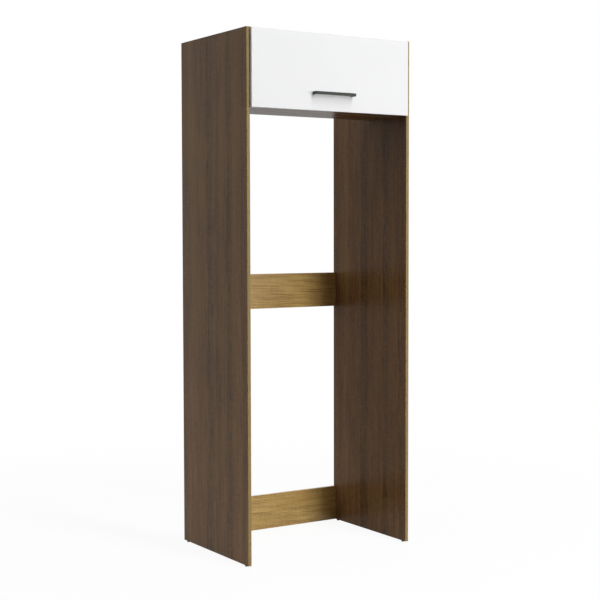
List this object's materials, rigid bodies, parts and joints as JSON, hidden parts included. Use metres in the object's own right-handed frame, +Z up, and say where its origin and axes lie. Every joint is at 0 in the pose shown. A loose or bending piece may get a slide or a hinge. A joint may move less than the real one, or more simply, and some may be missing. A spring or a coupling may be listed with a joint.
{
  "type": "over-fridge cabinet",
  "caption": "Tall wood-decor fridge surround with rear rails and a shallow white flap-door box across the top, on small glides.",
  "frame": {"origin": "on the floor under the middle of the whole cabinet's outer box", "axes": "+Z up, the flap door faces -Y, +X to the right seen from the front"},
  "size_m": [0.817, 0.6048, 2.196],
  "materials": {
    "wood_decor": "matt brown wood-grain laminate on particleboard, grain upright",
    "edge_band": "satin wood-grain edge band",
    "rail_decor": "matt brown wood-grain laminate, grain level",
    "box_decor": "satin brown wood-grain laminate, grain level",
    "hardboard": "plain brown hardboard",
    "white_door": "satin white foil on fibreboard",
    "graphite": "satin graphite",
    "nickel": "nickel-plated pressed steel",
    "bright_steel": "bright zinc-plated steel",
    "zinc": "dull zinc-plated steel",
    "strut_paint": "black painted tube",
    "black_plastic": "matt black plastic",
    "beech": "plain beech",
    "bumper_silicone": "translucent pale silicone"
  },
  "bodies": {
    "cabinet": {"back_panel_nails": "bright_steel", "bottom_panel": "box_decor", "box_back_panel": "hardboard", "cam_bolts": "bright_steel", "cam_locks": "zinc", "dowels": "beech", "front_edge_band_left": "edge_band", "front_edge_band_right": "edge_band", "front_glide_left": "black_plastic", "front_glide_right": "black_plastic", "glide_nails": "bright_steel", "hinge_arm_left": "nickel", "hinge_arm_right": "nickel", "hinge_arm_screws": "bright_steel", "hinge_plate_left": "nickel", "hinge_plate_right": "nickel", "hinge_plate_screws": "bright_steel", "lower_rear_rail": "rail_decor", "mid_rear_rail": "rail_decor", "rear_glide_left": "black_plastic", "rear_glide_right": "black_plastic", "side_bracket_screws": "bright_steel", "side_panel_left": "wood_decor", "side_panel_right": "wood_decor", "strut_side_bracket_left": "zinc", "strut_side_bracket_right": "zinc", "top_panel": "box_decor", "wall_bracket_left": "zinc", "wall_bracket_right": "zinc", "wall_bracket_screws": "bright_steel"},
    "flap": {"flap_door": "white_door", "door_handle": "graphite", "handle_screws": "bright_steel", "hinge_cup_left": "nickel", "hinge_cup_right": "nickel", "hinge_pin_left": "bright_steel", "hinge_pin_right": "bright_steel", "hinge_cup_screws": "bright_steel", "strut_door_bracket_left": "zinc", "strut_door_bracket_right": "zinc", "door_bracket_screws": "bright_steel", "door_bumpers": "bumper_silicone"},
    "strut_tube_left": {"strut_tube_left": "strut_paint", "strut_tube_end_left": "black_plastic", "strut_guide_left": "black_plastic"},
    "strut_rod_left": {"strut_rod_left": "bright_steel", "strut_rod_end_left": "black_plastic"},
    "strut_tube_right": {"strut_tube_right": "strut_paint", "strut_tube_end_right": "black_plastic", "strut_guide_right": "black_plastic"},
    "strut_rod_right": {"strut_rod_right": "bright_steel", "strut_rod_end_right": "black_plastic"}
  },
  "joints": [
    {"name": "flap_hinge", "type": "hinge", "parent": "cabinet", "child": "flap", "pos_m": [0, -0.2679, 2.18482], "axis": [-1, 0, 0], "range_deg": [0, 90]},
    {"name": "strut_pivot_left", "type": "hinge", "parent": "cabinet", "child": "strut_tube_left", "pos_m": [-0.3735, -0.2175, 1.9565], "axis": [1, 0, 0], "range_deg": [0, 20.02]},
    {"name": "strut_slide_left", "type": "slide", "parent": "strut_tube_left", "child": "strut_rod_left", "axis": [0, -0.1481, 0.989], "range_m": [0, 0.061]},
    {"name": "strut_pivot_right", "type": "hinge", "parent": "cabinet", "child": "strut_tube_right", "pos_m": [0.3735, -0.2175, 1.9565], "axis": [1, 0, 0], "range_deg": [0, 20.02]},
    {"name": "strut_slide_right", "type": "slide", "parent": "strut_tube_right", "child": "strut_rod_right", "axis": [0, -0.1481, 0.989], "range_m": [0, 0.061]}
  ],
  "couplings": [
    {"joint": "strut_pivot_left", "follows": "flap_hinge", "ratio": 0.22234},
    {"joint": "strut_slide_left", "follows": "flap_hinge", "m_per_rad": 0.038826},
    {"joint": "strut_pivot_right", "follows": "flap_hinge", "ratio": 0.22234},
    {"joint": "strut_slide_right", "follows": "flap_hinge", "m_per_rad": 0.038826}
  ]
}
